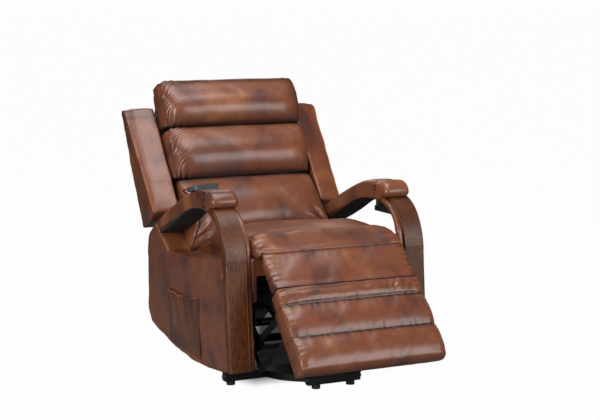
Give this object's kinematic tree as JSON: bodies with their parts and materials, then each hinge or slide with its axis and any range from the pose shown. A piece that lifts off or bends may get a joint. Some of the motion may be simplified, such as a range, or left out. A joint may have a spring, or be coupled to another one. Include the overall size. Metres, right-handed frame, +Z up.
{
  "type": "lift recliner chair",
  "caption": "Powered lift and recline armchair in mottled brown leather with open arms on curved wooden posts, a hinged footrest on scissor links and a steel lift frame on the floor",
  "frame": {"origin": "middle of the footprint box, on the floor", "axes": "+Z up, the sitter faces -Y, +X is the sitter's left"},
  "size_m": [0.804, 1.2962, 1.0002],
  "materials": {
    "leather": "mottled semi-gloss brown leather",
    "walnut": "dark satin walnut",
    "frame_wood": "plain plywood",
    "dust_cloth": "black woven cloth over board",
    "black_steel": "satin black",
    "zinc_steel": "zinc plated",
    "rod_steel": "drawn",
    "motor_plastic": "matt black",
    "black_rubber": "matt",
    "grey_plastic": "satin blue-grey",
    "black_plastic": "matt black"
  },
  "bodies": {
    "base": {"base_frame": "black_steel", "front_pan": "black_steel", "front_foot_bar": "black_steel", "levelling_feet": "black_rubber", "base_brackets": "black_steel", "base_bolts": "zinc_steel"},
    "lift_arm": {"lift_torque_tube": "black_steel", "lift_arms": "black_steel"},
    "lift_link": {"lift_links": "black_steel"},
    "lift_drive": {"lift_motor": "motor_plastic"},
    "lift_drive_rod": {"lift_motor_rod": "rod_steel"},
    "chair": {"lift_plates": "black_steel", "side_plates": "black_steel", "seat_rails": "frame_wood", "seat_cross_tubes": "black_steel", "seat_springs": "zinc_steel", "seat_cushion": "leather", "seat_front_rail": "leather", "side_panel_left": "leather", "side_panel_right": "leather", "side_pocket": "leather", "arm_pad_left": "leather", "arm_pad_right": "leather", "arm_post_left": "walnut", "arm_post_right": "walnut", "post_boards": "leather", "rear_skirt": "leather", "handset": "grey_plastic", "handset_cord": "black_rubber", "cord_grommet": "black_rubber", "massage_handset": "grey_plastic", "handset_holder": "black_plastic"},
    "guide": {"footrest_torque_tube": "black_steel", "guide_links": "black_steel"},
    "swing": {"swing_links": "black_steel"},
    "carrier": {"carry_links": "black_steel"},
    "steer": {"steer_links": "black_steel"},
    "footrest": {"footrest_brackets": "black_steel", "footrest_board": "leather", "footrest_pad": "leather"},
    "flap_root": {"flap_seam": "leather"},
    "flap": {"footrest_flap": "leather"},
    "footrest_drive": {"footrest_motor": "motor_plastic"},
    "footrest_drive_rod": {"footrest_motor_rod": "rod_steel"},
    "back": {"back_hinge": "black_steel", "back_board": "dust_cloth", "back_cover": "leather", "lumbar_cushion": "leather", "middle_cushion": "leather", "head_cushion": "leather", "wing_left": "leather", "wing_right": "leather"},
    "recline_drive": {"recline_motor": "motor_plastic"},
    "recline_drive_rod": {"recline_motor_rod": "rod_steel"},
    "button_1": {"handset_button_1": "black_plastic"},
    "button_2": {"handset_button_2": "black_plastic"},
    "button_3": {"handset_button_3": "black_plastic"},
    "button_4": {"handset_button_4": "black_plastic"},
    "side_button_1": {"massage_button_1": "black_plastic"},
    "side_button_2": {"massage_button_2": "black_plastic"}
  },
  "joints": [
    {"name": "lift", "type": "hinge", "parent": "base", "child": "lift_arm", "pos_m": [0, 0.31074, 0.094], "axis": [-1, 0, 0], "range_deg": [0, 33.57]},
    {"name": "chair_tilt", "type": "hinge", "parent": "lift_arm", "child": "chair", "pos_m": [0, -0.13726, 0.1], "axis": [1, 0, 0], "range_deg": [0, 59.6]},
    {"name": "lift_link_swing", "type": "hinge", "parent": "base", "child": "lift_link", "pos_m": [0, 0.02074, 0.177], "axis": [-1, 0, 0], "range_deg": [0, 48.2]},
    {"name": "lift_drive_tilt", "type": "hinge", "parent": "base", "child": "lift_drive", "pos_m": [0, -0.13926, 0.07], "axis": [1, 0, 0], "range_deg": [0, 3.6]},
    {"name": "lift_drive_stroke", "type": "slide", "parent": "lift_drive", "child": "lift_drive_rod", "axis": [0, 0.9411, 0.3382], "range_m": [0, 0.085]},
    {"name": "footrest_swing", "type": "hinge", "parent": "chair", "child": "swing", "pos_m": [0, -0.25126, 0.35], "axis": [-1, 0, 0], "range_deg": [-42.1, 47.9]},
    {"name": "guide_swing", "type": "hinge", "parent": "chair", "child": "guide", "pos_m": [0, -0.16426, 0.33], "axis": [-1, 0, 0], "range_deg": [-42.2, 48]},
    {"name": "carrier_turn", "type": "hinge", "parent": "swing", "child": "carrier", "pos_m": [0, -0.24026, 0.144], "axis": [-1, 0, 0], "range_deg": [-48, 42.2]},
    {"name": "steer_turn", "type": "hinge", "parent": "swing", "child": "steer", "pos_m": [0, -0.29926, 0.0785], "axis": [-1, 0, 0], "range_deg": [-48, 42.2]},
    {"name": "board_turn", "type": "hinge", "parent": "carrier", "child": "footrest", "pos_m": [0, -0.41426, 0.266], "axis": [-1, 0, 0], "range_deg": [-42.2, 48]},
    {"name": "flap_turn", "type": "hinge", "parent": "chair", "child": "flap_root", "pos_m": [0, -0.33326, 0.478], "axis": [-1, 0, 0], "range_deg": [-21.4, 24.4]},
    {"name": "flap_stretch", "type": "slide", "parent": "flap_root", "child": "flap", "axis": [0, -0.6702, -0.7422], "range_m": [-0.0395, 0.0445], "deforming": ["footrest_flap"]},
    {"name": "footrest_drive_tilt", "type": "hinge", "parent": "chair", "child": "footrest_drive", "pos_m": [0, 0.19074, 0.3], "axis": [1, 0, 0], "range_deg": [-0.6, 0.6]},
    {"name": "footrest_drive_stroke", "type": "slide", "parent": "footrest_drive", "child": "footrest_drive_rod", "axis": [0, -0.9991, -0.0422], "range_m": [-0.032, 0.036]},
    {"name": "recline", "type": "hinge", "parent": "chair", "child": "back", "pos_m": [0, 0.26574, 0.345], "axis": [-1, 0, 0], "range_deg": [-10, 27]},
    {"name": "recline_drive_tilt", "type": "hinge", "parent": "chair", "child": "recline_drive", "pos_m": [0, 0.02074, 0.33], "axis": [1, 0, 0], "range_deg": [-4.3, 1.7]},
    {"name": "recline_drive_stroke", "type": "slide", "parent": "recline_drive", "child": "recline_drive_rod", "axis": [0, 0.9744, -0.2246], "range_m": [-0.037, 0.0145]},
    {"name": "button_1_press", "type": "slide", "parent": "chair", "child": "button_1", "axis": [0, -0.2689, -0.9632], "range_m": [0, 0.0012], "stiffness_N_per_m": 300, "springref_m": -0.001},
    {"name": "button_2_press", "type": "slide", "parent": "chair", "child": "button_2", "axis": [0, -0.2689, -0.9632], "range_m": [0, 0.0012], "stiffness_N_per_m": 300, "springref_m": -0.001},
    {"name": "button_3_press", "type": "slide", "parent": "chair", "child": "button_3", "axis": [0, -0.2689, -0.9632], "range_m": [0, 0.0012], "stiffness_N_per_m": 300, "springref_m": -0.001},
    {"name": "button_4_press", "type": "slide", "parent": "chair", "child": "button_4", "axis": [0, -0.2689, -0.9632], "range_m": [0, 0.0012], "stiffness_N_per_m": 300, "springref_m": -0.001},
    {"name": "side_button_1_press", "type": "slide", "parent": "chair", "child": "side_button_1", "axis": [-1, 0, 0], "range_m": [0, 0.0012], "stiffness_N_per_m": 300, "springref_m": -0.001},
    {"name": "side_button_2_press", "type": "slide", "parent": "chair", "child": "side_button_2", "axis": [-1, 0, 0], "range_m": [0, 0.0012], "stiffness_N_per_m": 300, "springref_m": -0.001}
  ],
  "couplings": [
    {"joint": "chair_tilt", "follows": "lift", "ratio": 1.7746},
    {"joint": "lift_link_swing", "follows": "lift", "ratio": 1.4329},
    {"joint": "lift_drive_tilt", "follows": "lift", "ratio": 0.10457},
    {"joint": "lift_drive_stroke", "follows": "lift", "m_per_rad": 0.14275},
    {"joint": "guide_swing", "follows": "footrest_swing", "ratio": 1},
    {"joint": "carrier_turn", "follows": "footrest_swing", "ratio": -1},
    {"joint": "steer_turn", "follows": "footrest_swing", "ratio": -1},
    {"joint": "board_turn", "follows": "footrest_swing", "ratio": 1},
    {"joint": "flap_turn", "follows": "footrest_swing", "ratio": 0.504},
    {"joint": "flap_stretch", "follows": "footrest_swing", "m_per_rad": 0.052712},
    {"joint": "footrest_drive_tilt", "follows": "footrest_swing", "ratio": -0.011033},
    {"joint": "footrest_drive_stroke", "follows": "footrest_swing", "m_per_rad": 0.041848},
    {"joint": "recline_drive_tilt", "follows": "recline", "ratio": -0.15502},
    {"joint": "recline_drive_stroke", "follows": "recline", "m_per_rad": -0.076187}
  ]
}
